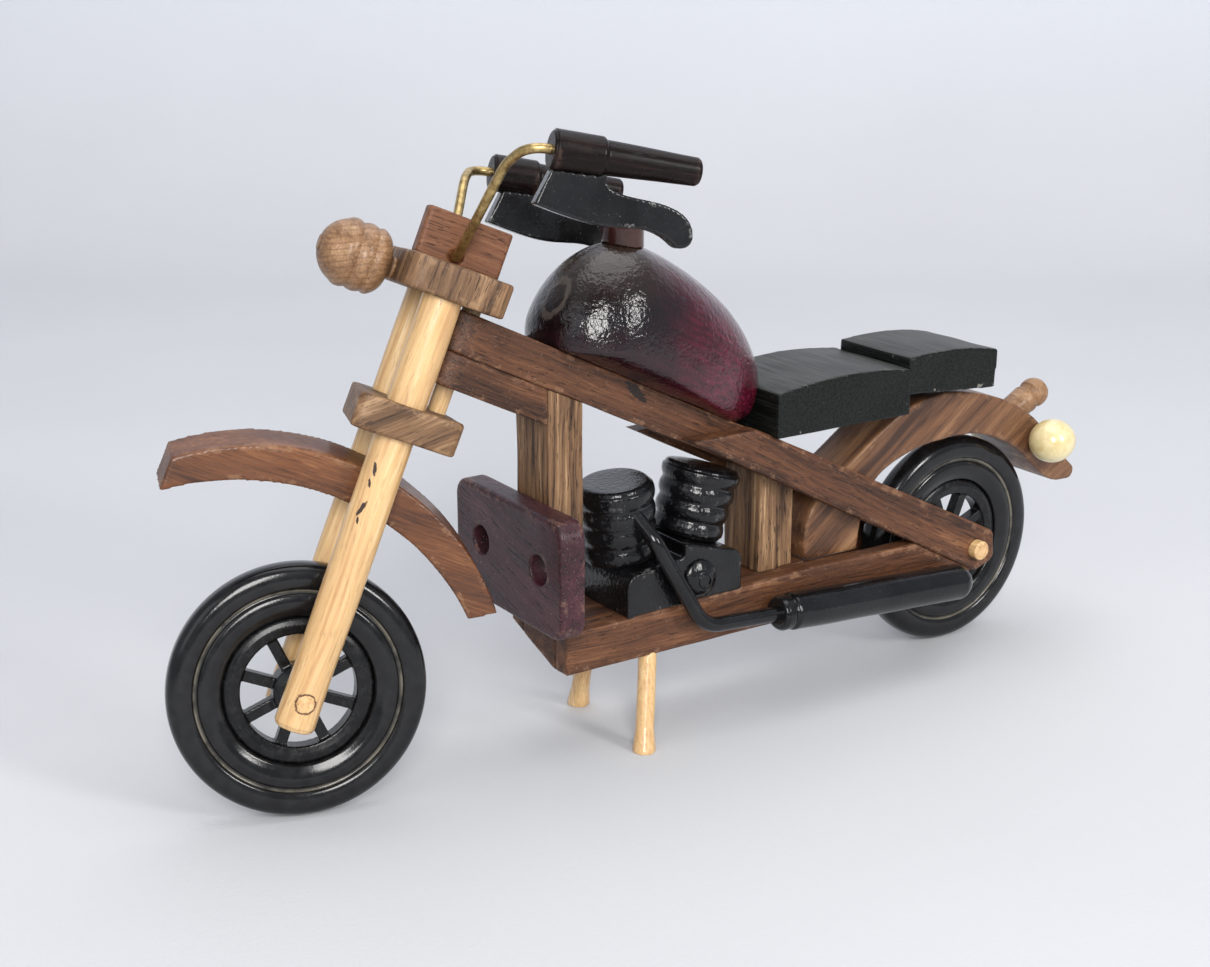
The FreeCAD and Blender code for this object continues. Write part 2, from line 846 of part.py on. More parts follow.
# ---- stand --------------------------------------------------------------------------------------
foot_radius = 3.2
peg_depth = 4.0                # how far the dowels go up into the base
left_peg = (Vector(118.5, 11.0, board_bottom), Vector(124.3, 18.0, 0))
right_peg = (Vector(124.3, -9.5, board_bottom), Vector(122.0, -18.0, 0))


def make_stand_peg(ends):
    """A splayed dowel with a flared foot, sawn level with the ground."""
    top, foot = ends
    axis = foot - top
    axis.normalize()
    start = top - axis * peg_depth
    length = (foot - start).Length
    profile = [
        (0, 0),
        (0, peg_radius),
        (length - 6.0, peg_radius),
        (length, foot_radius),
        (length + 3.0, foot_radius),
        (length + 3.0, 0),
    ]
    peg = lathe(profile, start, axis)
    return peg.cut(Part.makeBox(60, 60, 30, foot - Vector(30, 30, 30)))


# ---- assembly -----------------------------------------------------------------------------------
def main_frame_parts():
    left, right = make_stand_peg(left_peg), make_stand_peg(right_peg)
    spine = make_spine()
    left_stay, right_stay = make_stay(left_stay_front), mirrored(make_stay(right_stay_front))
    left_rail = make_lower_rail(left_stay_front)
    right_rail = chamfered_end(mirrored(make_lower_rail(right_stay_front)))
    pipe_path = pipe_points()
    pipe_end = rod(pipe_path[0], pipe_path[1], pipe_radius)
    front_cylinder = make_cylinder(front_cylinder_x, front_lean, 10.4, 10.4, front_cylinder_pitch)
    front_seat = make_front_seat().cut(spine).cut(left_stay).cut(right_stay)
    tank = make_fuel_tank().cut(front_seat)
    lamp = make_tail_lamp()
    fender = make_rear_fender().cut(lamp)
    axle_reach = Vector(0, side_outer + 2.5, 0)
    return {
        "spine": spine,
        "neck_block": make_neck_block(),
        "front_post": make_post(front_post_x),
        "rear_post": make_post(rear_post_x),
        "base_board": chamfered_end(make_base_board()).cut(left).cut(right),
        "left_stay": left_stay,
        "right_stay": right_stay,
        "left_lower_rail": left_rail.cut(left),
        "right_lower_rail": right_rail.cut(right),
        "foot_guard": make_foot_guard(),
        "crankcase": make_crankcase(),
        "left_crank_button": make_button(1),
        "right_crank_button": make_button(-1),
        "front_cylinder": front_cylinder.cut(pipe_end),
        "rear_cylinder": make_cylinder(rear_cylinder_x, rear_lean, 10.9, 9.9, rear_cylinder_pitch),
        "exhaust_pipe": bent_rod(pipe_path, pipe_bends, pipe_radius),
        "silencer": make_silencer(),
        "fuel_tank": tank,
        "filler_cap": make_filler_cap(tank),
        "front_seat": front_seat,
        "rear_seat": make_rear_seat(),
        "rear_fender": fender,
        "tail_lamp": lamp,
        "left_tail_ball": make_tail_ball(1).cut(fender),
        "right_tail_ball": make_tail_ball(-1).cut(fender),
        "left_stand_peg": left,
        "right_stand_peg": right,
        "rear_axle": rod(rear_axle_centre - axle_reach, rear_axle_centre + axle_reach, rear_axle_radius),
    }


def rear_wheel_parts():
    parts = {"rear_tyre": make_tyre(), "rear_rim": make_rim(rear_axle_radius + running_clearance)}
    for shape in parts.values():
        shape.translate(rear_axle_centre)
    return parts


def steering_parts():
    left_grip, right_grip = make_grip(grip_start), make_grip(grip_start + right_grip_shift)
    right_lever = make_lever(2.5)
    right_lever.translate(right_lever_shift)
    axle_reach = Vector(0, leg_y + leg_radius, 0)
    parts = {
        "steering_stem": make_stem(),
        "left_fork_leg": make_leg(1),
        "right_fork_leg": make_leg(-1),
        "lower_clamp": make_lower_clamp(),
        "upper_clamp": make_upper_clamp(),
        "head_block": make_head_block(),
        "headlamp": make_headlamp(),
        "left_handlebar": make_bar(left_bar_knee, grip_start),
        "right_handlebar": mirrored(make_bar(right_bar_knee, grip_start + right_grip_shift)),
        "left_grip": left_grip,
        "right_grip": mirrored(right_grip),
        "left_lever": make_lever(2.2).cut(left_grip),
        "right_lever": mirrored(right_lever.cut(right_grip)),
        "front_axle": rod(-axle_reach, axle_reach, front_axle_radius),
    }
    parts = {name: from_fork(shape) for name, shape in parts.items()}
    parts["front_fender"] = make_front_fender()
    return parts


def front_wheel_parts():
    parts = {"front_tyre": make_tyre(), "front_rim": make_rim(front_axle_radius + running_clearance)}
    for shape in parts.values():
        shape.translate(front_axle_centre)
    return parts


def all_parts():
    parts = main_frame_parts()
    parts.update(rear_wheel_parts())
    for name, shape in {**steering_parts(), **front_wheel_parts()}.items():
        parts[name] = turned(shape, steer_at_rest)
    for shape in parts.values():
        shape.translate(-row_origin)
    return parts


os.makedirs("parts", exist_ok=True)
for node, solid in all_parts().items():
    solid.exportStep(f"parts/{node}.step")
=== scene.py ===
import json
import math

import bpy
import bmesh
import numpy as np
from mathutils import Matrix, Vector


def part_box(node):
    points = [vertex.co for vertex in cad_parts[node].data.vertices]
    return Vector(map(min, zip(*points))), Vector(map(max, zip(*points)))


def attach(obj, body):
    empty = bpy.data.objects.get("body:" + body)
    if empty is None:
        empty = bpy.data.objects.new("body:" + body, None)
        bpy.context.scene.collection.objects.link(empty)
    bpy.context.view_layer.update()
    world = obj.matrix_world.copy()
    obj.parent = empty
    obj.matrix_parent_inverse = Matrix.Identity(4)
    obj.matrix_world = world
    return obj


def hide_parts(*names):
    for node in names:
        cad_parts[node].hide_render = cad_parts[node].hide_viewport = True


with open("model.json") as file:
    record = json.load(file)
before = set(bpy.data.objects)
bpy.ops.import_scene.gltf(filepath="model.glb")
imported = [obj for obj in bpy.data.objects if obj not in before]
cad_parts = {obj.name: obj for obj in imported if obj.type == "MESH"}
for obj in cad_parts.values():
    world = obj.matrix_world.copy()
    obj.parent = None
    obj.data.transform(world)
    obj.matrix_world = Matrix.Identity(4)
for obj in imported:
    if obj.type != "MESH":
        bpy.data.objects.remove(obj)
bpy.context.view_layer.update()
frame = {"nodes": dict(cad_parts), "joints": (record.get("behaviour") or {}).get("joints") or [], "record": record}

MM = 0.001
NODES = frame["nodes"]
JOINTS = {joint["name"]: joint for joint in frame["joints"]}
BODY = {n: b for b, ns in frame["record"]["behaviour"]["bodies"].items() for n in ns}


# ---- meshes -------------------------------------------------------------------------------------
def new_object(name, mesh):
    piece = bpy.data.objects.new(name, mesh)
    bpy.context.scene.collection.objects.link(piece)
    return piece


def stand_for(piece, node, material):
    """The finished piece takes the CAD node's place and body."""
    piece.data.materials.clear()
    piece.data.materials.append(material)
    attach(piece, BODY[node])
    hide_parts(node)
    return piece


def mesh_of(vertices, faces, name):
    mesh = bpy.data.meshes.new(name)
    mesh.from_pydata([tuple(v) for v in vertices], [], faces)
    mesh.update()
    return mesh


def coordinates(mesh):
    co = np.empty(len(mesh.vertices) * 3)
    mesh.vertices.foreach_get("co", co)
    return co.reshape(-1, 3)


def set_coordinates(mesh, co):
    mesh.vertices.foreach_set("co", co.astype(np.float32).ravel())
    mesh.update()


def normals(mesh):
    out = np.empty(len(mesh.vertices) * 3)
    mesh.vertices.foreach_get("normal", out)
    return out.reshape(-1, 3)


def edge_pairs(mesh):
    pairs = np.empty(len(mesh.edges) * 2, dtype=np.int64)
    mesh.edges.foreach_get("vertices", pairs)
    return pairs.reshape(-1, 2)


def averaged(co, pairs, degree):
    """Each point's mean neighbour."""
    count = len(co)
    out = np.empty_like(co)
    for axis in range(3):
        total = np.bincount(pairs[:, 0], co[pairs[:, 1], axis], count)
        total += np.bincount(pairs[:, 1], co[pairs[:, 0], axis], count)
        out[:, axis] = total / degree
    return out


def relaxed(co, pairs, rounds):
    """Low-pass smoothing that hardly shrinks."""
    degree = np.maximum(np.bincount(pairs.ravel(), minlength=len(co)), 1)
    for _ in range(rounds):
        co = co + 0.5 * (averaged(co, pairs, degree) - co)
        co = co - 0.51 * (averaged(co, pairs, degree) - co)
    return co


def ripples(co, size, seed, count=9):
    """A smooth repeatable unevenness, about -1 to 1, with bumps of roughly the given size in mm."""
    random = np.random.default_rng(seed)
    total = np.zeros(len(co))
    for _ in range(count):
        direction = random.normal(size=3)
        waves = random.uniform(0.6, 1.5) * math.pi / (size * MM)
        direction *= waves / np.linalg.norm(direction)
        total += np.sin(co @ direction + random.uniform(0, 6.283))
    return total / math.sqrt(count)


def mark_wear_and_shade(mesh, rounds=14):
    """Stores how sharply each point sticks out, for worn edges and for the painted shade in recesses."""
    co = coordinates(mesh)
    pairs = edge_pairs(mesh)
    degree = np.maximum(np.bincount(pairs.ravel(), minlength=len(co)), 1)
    smooth = co
    for _ in range(rounds):
        smooth = averaged(smooth, pairs, degree)
    out = ((co - smooth) * normals(mesh)).sum(1) / (0.5 * MM)
    attribute = mesh.attributes.new("wear_and_recess_shade", "FLOAT", "POINT")
    attribute.data.foreach_set("value", np.clip(out, -1, 1).astype(np.float32))


def finish_mesh(mesh, uneven, bump_size, seed):
    if uneven:
        co = coordinates(mesh)
        move = ripples(co, bump_size, seed) * uneven * MM
        set_coordinates(mesh, co + normals(mesh) * move[:, None])
    mesh.shade_smooth()
    mark_wear_and_shade(mesh)


def remeshed(mesh, voxel):
    """A closed mesh rebuilt with even faces."""
    piece = new_object("work", mesh)
    modifier = piece.modifiers.new("remesh", "REMESH")
    modifier.mode = "VOXEL"
    modifier.voxel_size = voxel * MM
    depsgraph = bpy.context.evaluated_depsgraph_get()
    out = bpy.data.meshes.new_from_object(piece.evaluated_get(depsgraph))
    bpy.data.objects.remove(piece)
    return out


def carved(node, voxel=0.5, rounds=3, uneven=0.06, bump_size=9.0, seed=1):
    """A sawn and sanded piece: the CAD solid with rounded, slightly uneven edges and faces."""
    mesh = NODES[node].data.copy()
    work = bmesh.new()
    work.from_mesh(mesh)
    bmesh.ops.remove_doubles(work, verts=work.verts, dist=0.002 * MM)
    work.to_mesh(mesh)
    work.free()
    mesh = remeshed(mesh, voxel)
    set_coordinates(mesh, relaxed(coordinates(mesh), edge_pairs(mesh), rounds))
    finish_mesh(mesh, uneven, bump_size, seed)
    return new_object("piece_" + node, mesh)


def axis_of(node, hint):
    """A turned solid's centre and axis, from how its surface is spread."""
    mesh = NODES[node].data
    mesh.calc_loop_triangles()
    co = coordinates(mesh)
    corners = np.array([t.vertices for t in mesh.loop_triangles])
    a, b, c = co[corners[:, 0]], co[corners[:, 1]], co[corners[:, 2]]
    area = np.linalg.norm(np.cross(b - a, c - a), axis=1)
    middle = (a + b + c) / 3
    centre = (middle * area[:, None]).sum(0) / area.sum()
    spread = np.zeros((3, 3))
    for points in (a, b, c, middle):
        offset = points - centre
        spread += (offset * area[:, None]).T @ offset
    vectors = np.linalg.eigh(spread)[1].T
    axis = max(vectors, key=lambda v: abs(v @ np.array(hint)))
    if axis @ np.array(hint) < 0:
        axis = -axis
    return centre, axis


def outline_of(node, centre, axis, step):
    """Largest radius at even steps along a turned solid's axis."""
    mesh = NODES[node].data
    co = coordinates(mesh)
    ends = edge_pairs(mesh)
    share = np.linspace(0, 1, 24)[:, None, None]
    points = (co[ends[:, 0]] * (1 - share) + co[ends[:, 1]] * share).reshape(-1, 3)
    offset = points - centre
    along = offset @ axis
    radius = np.linalg.norm(offset - along[:, None] * axis, axis=1)
    low, high = along.min(), along.max()
    count = max(8, int((high - low) / (step * MM)))
    slots = np.clip(((along - low) / (high - low) * count).astype(int), 0, count - 1)
    largest = np.zeros(count)
    np.maximum.at(largest, slots, radius)
    places = low + (np.arange(count) + 0.5) * (high - low) / count
    good = largest > 0
    return low, high, places, np.interp(places, places[good], largest[good])


def ring_points(centre, axis, along, radius, turns):
    """Circles of points about an axis."""
    side = np.cross(axis, [0.0, 0.0, 1.0])
    if np.linalg.norm(side) < 0.1:
        side = np.cross(axis, [1.0, 0.0, 0.0])
    side /= np.linalg.norm(side)
    other = np.cross(axis, side)
    circle = np.cos(turns)[:, None] * side + np.sin(turns)[:, None] * other
    return centre + axis * along + circle * radius


def lathe_mesh(centre, axis, profile, name, segments=96):
    """Turns (along, radius) points that start and end on the axis."""
    turns = np.arange(segments) * 2 * math.pi / segments
    vertices = [centre + axis * profile[0][0]]
    for along, radius in profile[1:-1]:
        vertices.extend(ring_points(centre, axis, along, radius, turns))
    vertices.append(centre + axis * profile[-1][0])
    rings = len(profile) - 2
    faces = []
    for k in range(segments):
        after = (k + 1) % segments
        faces.append((0, 1 + after, 1 + k))
        for ring in range(rings - 1):
            low, high = 1 + ring * segments, 1 + (ring + 1) * segments
            faces.append((low + k, low + after, high + after, high + k))
        last = 1 + (rings - 1) * segments
        faces.append((last + k, last + after, len(vertices) - 1))
    mesh = mesh_of(vertices, faces, name)
    work = bmesh.new()
    work.from_mesh(mesh)
    bmesh.ops.recalc_face_normals(work, faces=work.faces)
    work.to_mesh(mesh)
    work.free()
    return mesh


def end_cap(along, radius, corner, inward):
    """Points from the axis to a rounded end corner, spaced for even faces."""
    points = [(along, 0.0)]
    for share in np.linspace(0.2, 0.9, 5):
        points.append((along, (radius - corner) * share))
    for angle in np.linspace(0, math.pi / 2, 6):
        inset = corner * (1 - math.cos(angle))
        points.append((along + inward * inset, radius - corner * (1 - math.sin(angle))))
    return points


def turned(node, hint, step=0.3, corner=0.7, uneven=0.05, bump_size=8.0, segments=96, seed=1, smooth=1):
    """A turned piece: the CAD solid's outline, spun with rounded ends."""
    centre, axis = axis_of(node, hint)
    low, high, places, radii = outline_of(node, centre, axis, step)
    for _ in range(smooth):
        padded = np.concatenate([radii[:1], radii, radii[-1:]])
        radii = (padded[:-2] + 2 * padded[1:-1] + padded[2:]) / 4
    room = corner * MM
    inside = (places > low + room) & (places < high - room)
    start = end_cap(low, max(radii[0], room * 1.2), room, 1)
    stop = end_cap(high, max(radii[-1], room * 1.2), room, -1)[::-1]
    body = list(zip(places[inside], radii[inside]))
    mesh = lathe_mesh(centre, axis, start + body + stop, "piece_" + node, segments)
    finish_mesh(mesh, uneven, bump_size, seed)
    return new_object("piece_" + node, mesh)


# ---- materials ----------------------------------------------------------------------------------
class Graph:
    """A node material, built by calls that return sockets."""

    def __init__(self, name):
        self.material = bpy.data.materials.new(name)
        self.material.use_nodes = True
        self.tree = self.material.node_tree
        self.tree.nodes.clear()

    def node(self, kind, output=0, settings=None, **inputs):
        made = self.tree.nodes.new("ShaderNode" + kind)
        for key, value in (settings or {}).items():
            setattr(made, key, value)
        for key, value in inputs.items():
            key = int(key[1:]) if key[1:].isdigit() else key.replace("_", " ")
            socket = made.inputs[key]
            if isinstance(value, bpy.types.NodeSocket):
                self.tree.links.new(value, socket)
            else:
                if socket.type == "RGBA" and len(value) == 3:
                    value = (*value, 1.0)
                socket.default_value = value
        return made.outputs[output]

    def math(self, operation, a, b=0.0, c=0.0, clamp=False):
        return self.node("Math", settings={"operation": operation, "use_clamp": clamp}, i0=a, i1=b, i2=c)

    def ramp(self, value, low, high, start=0.0, stop=1.0):
        """value remapped from low..high to start..stop, clamped."""
        return self.node(
            "MapRange", settings={"interpolation_type": "SMOOTHSTEP"},
            Value=value, From_Min=low, From_Max=high, To_Min=start, To_Max=stop,
        )

    def mix(self, share, a, b, blend="MIX"):
        made = self.tree.nodes.new("ShaderNodeMix")
        made.data_type = "RGBA"
        made.blend_type = blend
        for index, value in ((0, share), (6, a), (7, b)):
            socket = made.inputs[index]
            if isinstance(value, bpy.types.NodeSocket):
                self.tree.links.new(value, socket)
            elif index and len(value) == 3:
                socket.default_value = (*value, 1.0)
            else:
                socket.default_value = value
        return made.outputs[2]

    def place(self, offset=(0, 0, 0)):
        """Position in millimetres, in the piece's own frame."""
        at = self.node("TexCoord", output=3)
        scaled = self.node("VectorMath", settings={"operation": "SCALE"}, i0=at, Scale=1000.0)
        return self.node("VectorMath", settings={"operation": "ADD"}, i0=scaled, i1=offset)

    def grain(self, direction, offset=(0, 0, 0), up=(0.05, 0.1, 1.0)):
        """Position with X along the grain."""
        x = Vector(direction).normalized()
        z = Vector(up) - x * x.dot(Vector(up))
        if z.length < 0.2:
            z = Vector((0.1, 1, 0)) - x * x.dot(Vector((0.1, 1, 0)))
        z.normalize()
        rotation = Matrix((x, z.cross(x), z)).to_euler()
        at = self.place()
        return self.node(
            "Mapping", settings={"vector_type": "POINT"}, Vector=at, Location=offset, Rotation=rotation,
        )

    def stretch(self, at, scale):
        return self.node("VectorMath", settings={"operation": "MULTIPLY"}, i0=at, i1=scale)

    def noise(self, at, scale=1.0, detail=3.0, rough=0.5, distortion=0.0, colour=False):
        return self.node(
            "TexNoise", output=1 if colour else 0,
            Vector=at, Scale=scale, Detail=detail, Roughness=rough, Distortion=distortion,
        )

    def wear_and_recess_shade(self):
        return self.node("Attribute", output=2, settings={"attribute_name": "wear_and_recess_shade"})

    def worn_edge(self, at, amount):
        """Flecks where a corner has been rubbed; a lower amount covers more of the edge."""
        patches = self.noise(at, 0.22, 5.0, 0.72)
        rubbed = self.ramp(self.wear_and_recess_shade(), 0.10, 0.30)
        return self.math("MULTIPLY", rubbed, self.ramp(patches, amount - 0.04, amount + 0.05))

    def spot(self, centre, direction, length, width, raggedness=0.35):
        """1 inside a ragged blotch about a point (metres), stretched along a direction; sizes in mm."""
        x = Vector(direction).normalized()
        other = Vector((0.31, 0.74, 0.6)).cross(x).normalized()
        rotation = Matrix((x, other, x.cross(other))).to_euler()
        here = tuple(-1000 * c for c in centre)
        local = self.node(
            "Mapping", settings={"vector_type": "POINT"}, Vector=self.place(here), Rotation=rotation,
        )
        scaled = self.stretch(local, (1 / length, 1 / width, 1 / width))
        away = self.node("VectorMath", output=1, settings={"operation": "LENGTH"}, i0=scaled)
        ragged = self.noise(self.stretch(local, (0.35, 1.0, 1.0)), 0.9, 4.0, 0.7)
        centred = self.math("ADD", away, raggedness * 2)
        return self.ramp(self.math("MULTIPLY_ADD", ragged, -raggedness * 4, centred), 1.0, 0.8)

    def bump(self, height, distance, strength=1.0, normal=None):
        inputs = {"Height": height, "Distance": distance * MM, "Strength": strength}
        if normal is not None:
            inputs["Normal"] = normal
        return self.node("Bump", **inputs)

    def surface(self, **inputs):
        if "Coat_Weight" in inputs:
            inputs["Coat_Normal"] = inputs["Normal"]
        shader = self.node("BsdfPrincipled", **inputs)
        output = self.tree.nodes.new("ShaderNodeOutputMaterial")
        self.tree.links.new(shader, output.inputs["Surface"])
        return self.material


def seeded(seed):
    random = np.random.default_rng(seed)
    return tuple(float(v) for v in random.uniform(-300, 300, 3))


def wood(name, direction, dark, mid, light, seed=1, fibre=1.0, band=4.0, band_share=0.5, pore=0.6,
         pore_size=1.0, rough=0.5, gloss=0.0, worn=None, worn_share=0.0, relief=0.05, up=(0.05, 0.1, 1.0),
         dust=0.0, figure=0.0, shine=0.35, marks=()):
    """Straight-grained wood: bands, fibres and pores along one direction, worn at the edges."""
    g = Graph(name)
    at = g.grain(direction, seeded(seed), up)
    drift = g.noise(g.stretch(at, (0.02, 0.05, 0.05)), 1.0, 2.0, colour=True)
    shifted = g.node("VectorMath", settings={"operation": "MULTIPLY_ADD"}, i0=drift, i1=(0, 5, 5), i2=at)
    fibres = g.noise(g.stretch(shifted, (0.05 * fibre, 1.6 * fibre, 1.6 * fibre)), 1.0, 6.0, 0.65)
    bands = g.noise(g.stretch(shifted, (0.012, 1 / band, 1 / band)), 1.0, 3.0, 0.6)
    patches = g.noise(g.stretch(at, (0.03, 0.07, 0.07)), 1.0, 3.0, 0.5)
    pores = g.noise(g.stretch(shifted, (0.22 / pore_size, 2.6 / pore_size, 2.6 / pore_size)), 1.0, 2.0, 0.5)
    pore_mask = g.ramp(pores, 0.60, 0.68)
    tone = g.math("ADD", g.math("MULTIPLY", bands, band_share), g.math("MULTIPLY", fibres, 1 - band_share))
    colour = g.mix(g.ramp(tone, 0.36, 0.54), dark, mid)
    colour = g.mix(g.ramp(tone, 0.52, 0.68), colour, light)
    if figure:
        rings = g.node(
            "TexWave", output=1,
            settings={"wave_type": "BANDS", "bands_direction": "Z", "wave_profile": "SAW"},
            Vector=g.stretch(shifted, (0.06, 0.5, 1.0)), Scale=figure, Distortion=4.0, Detail=2.0,
            Detail_Scale=0.6, Detail_Roughness=0.5,
        )
        colour = g.mix(g.math("MULTIPLY", g.ramp(rings, 0.55, 0.95), 0.55), colour, dark)
    colour = g.mix(g.math("MULTIPLY", g.ramp(patches, 0.35, 0.7), 0.35), colour, dark)
    colour = g.mix(g.math("MULTIPLY", pore_mask, pore), colour, tuple(c * 0.25 for c in dark))
    wear_and_recess_shade = g.wear_and_recess_shade()
    if worn_share:
        colour = g.mix(g.math("MULTIPLY", g.worn_edge(at, 0.56), worn_share), colour, worn or light)
    for mask, tone in marks:
        colour = g.mix(mask(g), colour, tone)
    # Painted shade: points that sit in recesses are darkened towards a deep brown.
    painted_recess_shade = g.ramp(g.math("MULTIPLY", wear_and_recess_shade, -1.0), 0.05, 0.4)
    colour = g.mix(g.math("MULTIPLY", painted_recess_shade, 0.5), colour, tuple(c * 0.3 for c in dark))
    if dust:
        specks = g.ramp(g.noise(at, 3.1, 1.0, 0.4), 0.735, 0.765)
        colour = g.mix(g.math("MULTIPLY", specks, dust), colour, (0.75, 0.68, 0.58))
    height = g.math("SUBTRACT", g.math("MULTIPLY", fibres, 0.6), g.math("MULTIPLY", pore_mask, 0.8))
    roughness = g.math("MULTIPLY_ADD", g.noise(at, 0.35, 3.0), 0.22, rough - 0.11)
    return g.surface(
        Base_Color=colour, Roughness=roughness, Normal=g.bump(height, relief),
        Coat_Weight=gloss, Coat_Roughness=0.12, Specular_IOR_Level=shine,
    )


def lacquer(name, base, shade, seed=1, peel=0.05, peel_size=0.9, rough=0.16, worn=None, worn_share=0.0,
            brush=0.0, direction=(1, 0, 0)):
    """Thick brushed-on gloss over wood: orange peel, dull spots, rubbed edges."""
    g = Graph(name)
    at = g.place(seeded(seed))
    peels = g.noise(at, peel_size, 2.0, 0.5, 0.3)
    fine = g.noise(at, 2.6, 3.0, 0.6)
    grain = g.noise(g.stretch(g.grain(direction, seeded(seed)), (0.06, 1.3, 1.3)), 1.0, 4.0, 0.6)
    patches = g.noise(at, 0.09, 3.0, 0.5)
    colour = g.mix(g.ramp(patches, 0.35, 0.7), base, shade)
    if worn_share:
        colour = g.mix(g.math("MULTIPLY", g.worn_edge(at, 0.62), worn_share), colour, worn)
    specks = g.ramp(g.noise(at, 3.4, 1.0, 0.4), 0.75, 0.775)
    colour = g.mix(g.math("MULTIPLY", specks, 0.2), colour, (0.6, 0.58, 0.54))
    height = g.math("ADD", g.math("MULTIPLY", peels, 1.0), g.math("MULTIPLY", grain, brush))
    height = g.math("MULTIPLY_ADD", fine, 0.08, height)
    roughness = g.math("MULTIPLY_ADD", g.noise(at, 0.2, 4.0, 0.6), 0.25, rough - 0.1)
    return g.surface(
        Base_Color=colour, Roughness=roughness, Normal=g.bump(height, peel), Specular_IOR_Level=0.2,
        Coat_Weight=0.4, Coat_Roughness=0.06,
    )


# ---- directions the wood grain runs in ----------------------------------------------------------
ALONG = (1, 0, 0)
ACROSS = (0, 1, 0)
UPRIGHT = (0, 0, 1)
SLOPE = (0.899, 0, 0.438)
STAY = (0.88, 0, 0.475)
steering = JOINTS["steering_pivot"]
FORK = Vector(steering["axis"])
AXLE = Vector(JOINTS["front_wheel_spin"]["axis"])
FORK_FRONT = AXLE.cross(FORK)

WALNUT = ((0.026, 0.010, 0.005), (0.105, 0.040, 0.017), (0.225, 0.098, 0.043))


def walnut(name, direction, seed, lighter=1.0, **options):
    tones = [tuple(c * lighter for c in tone) for tone in WALNUT]
    settings = dict(rough=0.5, pore=0.7, worn=(0.33, 0.18, 0.10), worn_share=0.35, dust=0.25, relief=0.06)
    settings.update(options)
    return wood(name, direction, *tones, seed=seed, **settings)


# ---- boards -------------------------------------------------------------------------------------
def board(node, material, **options):
    return stand_for(carved(node, **options), node, material)


def burn(g):
    """The dark blotch on the spine's left face, under the tank."""
    low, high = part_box("spine")
    at = (low.x + (high.x - low.x) * 0.49, high.y, low.z + (high.z - low.z) * 0.55)
    return g.math("MULTIPLY", g.spot(at, (0.75, 0, 0.66), 4.2, 1.5, 0.55), 0.9)


board("spine", walnut("spine_walnut", SLOPE, 11, marks=[(burn, (0.006, 0.004, 0.004))]), seed=1)
board("neck_block", walnut("neck_walnut", SLOPE, 12, 0.95), seed=2)
board("base_board", walnut("base_walnut", ALONG, 13, 0.9), seed=3)
for number, side in enumerate(("left", "right")):
    board(side + "_stay", walnut(side + "_stay_walnut", STAY, 21 + number, 1.15), seed=4 + number)
    board(side + "_lower_rail", walnut(side + "_rail_walnut", ALONG, 23 + number, 1.05), seed=6 + number)

POST = ((0.040, 0.018, 0.009), (0.20, 0.108, 0.052), (0.50, 0.32, 0.17))
for number, node in enumerate(("front_post", "rear_post")):
    material = wood(
        node + "_wood", UPRIGHT, *POST, seed=31 + number, band=2.2, band_share=0.6, pore=0.8, rough=0.6,
        relief=0.12, fibre=0.8,
    )
    board(node, material, seed=8 + number)

board(
    "rear_fender",
    wood("rear_fender_wood", (-0.8, 0, 0.6),
         (0.045, 0.018, 0.009), (0.17, 0.075, 0.033), (0.34, 0.18, 0.085),
         seed=35, band=5.5, band_share=0.75, pore=0.5, rough=0.45, gloss=0.15, worn_share=0.3),
    seed=10, rounds=8,
)
board(
    "foot_guard",
    wood("foot_guard_wood", (0, 0.97, -0.22),
         (0.016, 0.004, 0.007), (0.048, 0.012, 0.018), (0.10, 0.036, 0.040),
         seed=36, band=5.0, pore=0.95, pore_size=1.8, rough=0.45, gloss=0.12, worn=(0.26, 0.14, 0.10),
         worn_share=0.35, relief=0.16, dust=0.4),
    seed=11, rounds=4,
)
board(
    "front_fender",
    wood("front_fender_wood", FORK_FRONT,
         (0.045, 0.015, 0.006), (0.135, 0.047, 0.016), (0.26, 0.105, 0.038),
         seed=37, band=6.0, pore=0.4, rough=0.4, gloss=0.2, worn=(0.34, 0.19, 0.10), worn_share=0.3),
    seed=12, rounds=8,
)
CLAMP = ((0.055, 0.026, 0.012), (0.21, 0.112, 0.053), (0.42, 0.26, 0.14))
board(
    "lower_clamp",
    wood("lower_clamp_wood", FORK * 0.66 - FORK_FRONT * 0.75, *CLAMP,
         seed=38, band=2.4, band_share=0.7, rough=0.5,
         worn_share=0.3, up=AXLE),
    seed=13, rounds=3,
)
board(
    "upper_clamp",
    wood("upper_clamp_wood", FORK, *CLAMP,
         seed=39, band=3.0, pore=0.8, rough=0.5, worn_share=0.3, up=AXLE),
    seed=14, rounds=3,
)
board(
    "head_block",
    wood("head_block_wood", FORK_FRONT, (0.08, 0.028, 0.013), (0.19, 0.075, 0.034), (0.30, 0.14, 0.07),
         seed=40, band=3.5, pore=0.9, rough=0.5, worn_share=0.3),
    seed=15, rounds=3, voxel=0.35,
)

# ---- black lacquered pieces ---------------------------------------------------------------------
BLACK, SOFT_BLACK = (0.003, 0.003, 0.0035), (0.008, 0.008, 0.009)
CHALK = (0.42, 0.42, 0.40)
engine_black = lacquer("engine_black", BLACK, SOFT_BLACK, 51, peel=0.16, worn=CHALK, worn_share=0.12)
crank_black = lacquer("crank_black", BLACK, SOFT_BLACK, 52, peel=0.16, worn=CHALK, worn_share=0.2)
board("crankcase", crank_black, seed=16)
for side in ("left", "right"):
    material = lacquer(side + "_lever_black", BLACK, SOFT_BLACK, 53, rough=0.24, worn=CHALK, worn_share=0.35)
    board(side + "_lever", material, seed=17, voxel=0.4, rounds=4)
board("exhaust_pipe", lacquer("pipe_black", BLACK, SOFT_BLACK, 54), voxel=0.3, rounds=8, uneven=0.03)


def spin(node, hint, material, **options):
    return stand_for(turned(node, hint, **options), node, material)


